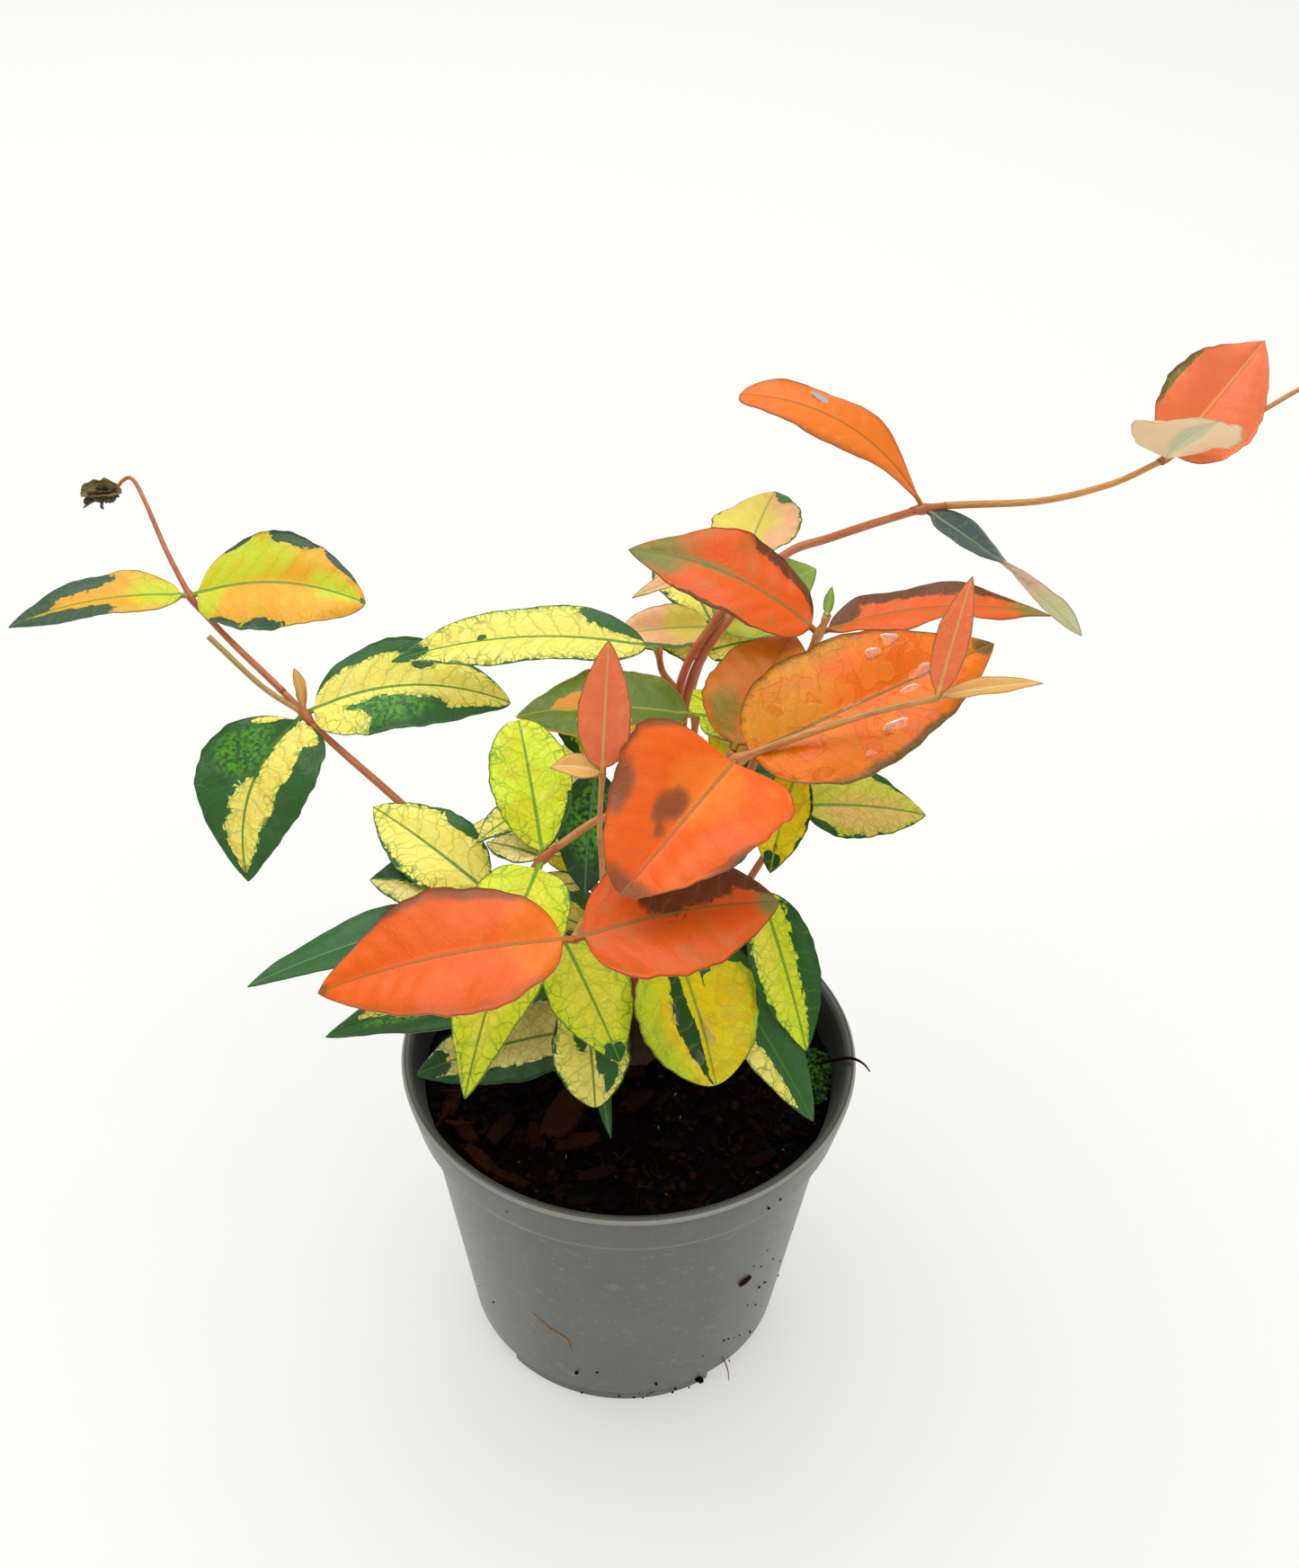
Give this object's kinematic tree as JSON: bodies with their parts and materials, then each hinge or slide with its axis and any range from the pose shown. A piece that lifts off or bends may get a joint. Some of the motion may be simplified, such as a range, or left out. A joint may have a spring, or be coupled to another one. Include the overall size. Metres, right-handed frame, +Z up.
{
  "type": "potted variegated asiatic jasmine",
  "caption": "Small evergreen ground-cover plant with trailing stems and paired variegated leaves, growing in a round tapered nursery pot of bark mix.",
  "frame": {"origin": "centre of the pot's flat underside", "axes": "+Z up along the pot's axis, +X along the long trailing shoots, -Y towards the plant's front"},
  "size_m": [0.3421, 0.2119, 0.2168],
  "materials": {
    "moulded_plastic": "matte grey nursery plastic, scuffed",
    "damp_mix": "damp dark bark and peat mix",
    "bark": "rough brown bark",
    "young_bark": "smooth rust-brown young bark",
    "orange_leaves": "glossy orange to coral leaves with olive patches",
    "yellow_leaves": "glossy yellow and cream leaves with green margins",
    "green_leaves": "glossy dark green leaves with yellow patches"
  },
  "bodies": {
    "root": {"bough_back": "young_bark", "bough_centre": "young_bark", "bough_crown": "young_bark", "bough_front": "young_bark", "bough_inner": "young_bark", "bough_left_lower": "young_bark", "bough_left_outer": "young_bark", "bough_low_left": "young_bark", "bough_right_lower": "young_bark", "bough_right_outer": "young_bark", "bough_twin": "young_bark", "crown_back_left": "green_leaves", "crown_back_right": "green_leaves", "leaves_back": "yellow_leaves", "leaves_centre": "orange_leaves", "leaves_crown": "orange_leaves", "leaves_crown_back": "orange_leaves", "leaves_front": "orange_leaves", "leaves_inner": "green_leaves", "leaves_left_far": "yellow_leaves", "leaves_left_near": "green_leaves", "leaves_low_left": "yellow_leaves", "leaves_right_far": "orange_leaves", "leaves_right_near": "orange_leaves", "leaves_twin": "yellow_leaves", "pot": "moulded_plastic", "potting_mix": "damp_mix", "shoot_young_front": "orange_leaves", "skirt_back": "green_leaves", "skirt_back_left": "green_leaves", "skirt_back_right": "green_leaves", "skirt_front": "yellow_leaves", "skirt_left": "green_leaves", "skirt_right": "green_leaves", "skirt_right_upper": "green_leaves", "trunk": "bark"}
  },
  "joints": []
}
